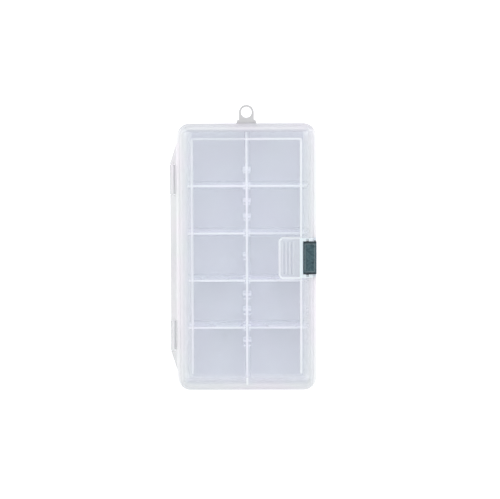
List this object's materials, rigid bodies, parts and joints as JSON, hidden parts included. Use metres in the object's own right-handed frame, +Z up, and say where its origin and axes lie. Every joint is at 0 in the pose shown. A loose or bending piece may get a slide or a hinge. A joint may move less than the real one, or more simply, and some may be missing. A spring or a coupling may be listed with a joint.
{
  "type": "fly box",
  "caption": "Flat frosted compartment case with hinged lid, clip latch, lift-out dividers and a hanging tab.",
  "frame": {"origin": "centre of the tray's flat underside, on the surface that the closed case stands on", "axes": "+Z up out of the tray, +Y along the length towards the hanging tab, +X across towards the latch, with the hinge on the -X side"},
  "size_m": [0.1017, 0.1989, 0.034],
  "materials": {
    "frosted_case": "frosted translucent polypropylene",
    "frosted_divider": "frosted translucent polypropylene",
    "latch_plastic": "satin dark green plastic",
    "tab_plastic": "satin grey plastic"
  },
  "bodies": {
    "tray": {"tray": "frosted_case", "hanging_tab": "tab_plastic"},
    "lid": {"lid": "frosted_case"},
    "latch": {"latch": "latch_plastic"},
    "divider_left_1": {"divider_left_1": "frosted_divider"},
    "divider_left_2": {"divider_left_2": "frosted_divider"},
    "divider_left_3": {"divider_left_3": "frosted_divider"},
    "divider_left_4": {"divider_left_4": "frosted_divider"},
    "divider_right_1": {"divider_right_1": "frosted_divider"},
    "divider_right_2": {"divider_right_2": "frosted_divider"},
    "divider_right_3": {"divider_right_3": "frosted_divider"},
    "divider_right_4": {"divider_right_4": "frosted_divider"}
  },
  "joints": [
    {"name": "lid_hinge", "type": "hinge", "parent": "tray", "child": "lid", "pos_m": [-0.0516, 0, 0.025], "axis": [0, -1, 0], "range_deg": [0, 180]},
    {"name": "latch_pivot", "type": "hinge", "parent": "lid", "child": "latch", "pos_m": [0.042, 0, 0.0313], "axis": [0, -1, 0], "range_deg": [0, 100]},
    {"name": "divider_left_1_lift", "type": "slide", "parent": "tray", "child": "divider_left_1", "axis": [0, 0, 1], "range_m": [0, 0.007]},
    {"name": "divider_left_2_lift", "type": "slide", "parent": "tray", "child": "divider_left_2", "axis": [0, 0, 1], "range_m": [0, 0.007]},
    {"name": "divider_left_3_lift", "type": "slide", "parent": "tray", "child": "divider_left_3", "axis": [0, 0, 1], "range_m": [0, 0.007]},
    {"name": "divider_left_4_lift", "type": "slide", "parent": "tray", "child": "divider_left_4", "axis": [0, 0, 1], "range_m": [0, 0.007]},
    {"name": "divider_right_1_lift", "type": "slide", "parent": "tray", "child": "divider_right_1", "axis": [0, 0, 1], "range_m": [0, 0.007]},
    {"name": "divider_right_2_lift", "type": "slide", "parent": "tray", "child": "divider_right_2", "axis": [0, 0, 1], "range_m": [0, 0.007]},
    {"name": "divider_right_3_lift", "type": "slide", "parent": "tray", "child": "divider_right_3", "axis": [0, 0, 1], "range_m": [0, 0.007]},
    {"name": "divider_right_4_lift", "type": "slide", "parent": "tray", "child": "divider_right_4", "axis": [0, 0, 1], "range_m": [0, 0.007]}
  ]
}
